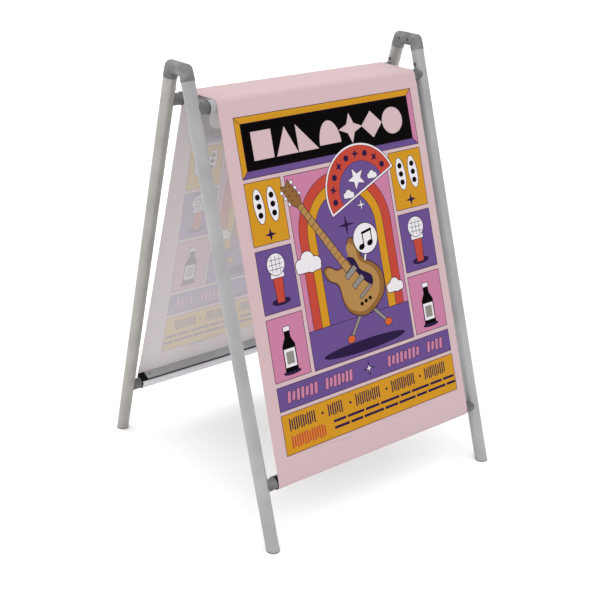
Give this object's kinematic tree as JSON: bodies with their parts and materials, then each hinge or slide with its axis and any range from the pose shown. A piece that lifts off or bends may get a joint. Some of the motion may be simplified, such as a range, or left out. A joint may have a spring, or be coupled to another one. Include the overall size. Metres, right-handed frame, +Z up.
{
  "type": "sandwich board",
  "caption": "Folding A-frame sidewalk board: two tube frames hinged at the top, with one printed fabric banner wrapped over both sides.",
  "frame": {"origin": "on the floor, midway between the four feet", "axes": "+Z up, X across the board with its left at -X seen from the front, the front faces -Y"},
  "size_m": [0.718, 0.7502, 1.0801],
  "materials": {
    "anodised_tube": "satin silver anodised tube with fine draw lines",
    "anodised_rail": "satin silver anodised extrusion",
    "foot_plastic": "dark grey moulded plug, scuffed sole",
    "elbow_plastic": "mid grey fine-textured moulding",
    "saddle_plastic": "dark grey fine-textured moulding",
    "cap_plastic": "black moulding",
    "spring_steel": "plain spring strip",
    "screw_steel": "zinc plated",
    "dark_steel": "blackened steel",
    "spline_rubber": "black flexible strip",
    "banner_fabric": "matt printed woven banner fabric, pale pink, print faint on the back"
  },
  "bodies": {
    "front_frame": {"front_leg_left": "anodised_tube", "front_foot_left": "foot_plastic", "front_elbow_left": "elbow_plastic", "front_top_saddle_left": "saddle_plastic", "front_bottom_saddle_left": "saddle_plastic", "front_bar_plug_left": "cap_plastic", "front_rail_cap_left": "cap_plastic", "front_snap_spring_left": "spring_steel", "front_leg_right": "anodised_tube", "front_foot_right": "foot_plastic", "front_elbow_right": "elbow_plastic", "front_top_saddle_right": "saddle_plastic", "front_bottom_saddle_right": "saddle_plastic", "front_bar_plug_right": "cap_plastic", "front_rail_cap_right": "cap_plastic", "front_snap_spring_right": "spring_steel", "front_top_bar": "anodised_rail", "front_bottom_rail": "anodised_rail", "front_saddle_bolts": "screw_steel", "front_rivet_nuts": "screw_steel", "front_rail_screws": "screw_steel", "front_banner_spline": "spline_rubber", "front_banner": "banner_fabric"},
    "rear_frame": {"rear_leg_left": "anodised_tube", "rear_foot_left": "foot_plastic", "rear_elbow_left": "elbow_plastic", "rear_top_saddle_left": "saddle_plastic", "rear_bottom_saddle_left": "saddle_plastic", "rear_bar_plug_left": "cap_plastic", "rear_rail_cap_left": "cap_plastic", "rear_snap_spring_left": "spring_steel", "rear_leg_right": "anodised_tube", "rear_foot_right": "foot_plastic", "rear_elbow_right": "elbow_plastic", "rear_top_saddle_right": "saddle_plastic", "rear_bottom_saddle_right": "saddle_plastic", "rear_bar_plug_right": "cap_plastic", "rear_rail_cap_right": "cap_plastic", "rear_snap_spring_right": "spring_steel", "rear_top_bar": "anodised_rail", "rear_bottom_rail": "anodised_rail", "rear_saddle_bolts": "screw_steel", "rear_rivet_nuts": "screw_steel", "rear_rail_screws": "screw_steel", "rear_banner_spline": "spline_rubber", "rear_banner": "banner_fabric", "hinge_pin_left": "dark_steel", "hinge_pin_right": "dark_steel", "tie_screws": "dark_steel", "banner_top": "banner_fabric"},
    "front_button_left": {"front_snap_button_left": "dark_steel"},
    "front_button_right": {"front_snap_button_right": "dark_steel"},
    "rear_button_left": {"rear_snap_button_left": "dark_steel"},
    "rear_button_right": {"rear_snap_button_right": "dark_steel"}
  },
  "joints": [
    {"name": "frame_fold", "type": "hinge", "parent": "front_frame", "child": "rear_frame", "pos_m": [0, -0.0156, 1.06407], "axis": [-1, 0, 0], "range_deg": [0, 34.26], "deforming": ["banner_top"]},
    {"name": "front_button_press_left", "type": "slide", "parent": "front_frame", "child": "front_button_left", "axis": [-1, 0, 0], "range_m": [0, 0.004], "stiffness_N_per_m": 400, "springref_m": -0.001, "deforming": ["front_snap_spring_left"]},
    {"name": "front_button_press_right", "type": "slide", "parent": "front_frame", "child": "front_button_right", "axis": [1, 0, 0], "range_m": [0, 0.004], "stiffness_N_per_m": 400, "springref_m": -0.001, "deforming": ["front_snap_spring_right"]},
    {"name": "rear_button_press_left", "type": "slide", "parent": "rear_frame", "child": "rear_button_left", "axis": [-1, 0, 0], "range_m": [0, 0.004], "stiffness_N_per_m": 400, "springref_m": -0.001, "deforming": ["rear_snap_spring_left"]},
    {"name": "rear_button_press_right", "type": "slide", "parent": "rear_frame", "child": "rear_button_right", "axis": [1, 0, 0], "range_m": [0, 0.004], "stiffness_N_per_m": 400, "springref_m": -0.001, "deforming": ["rear_snap_spring_right"]}
  ]
}
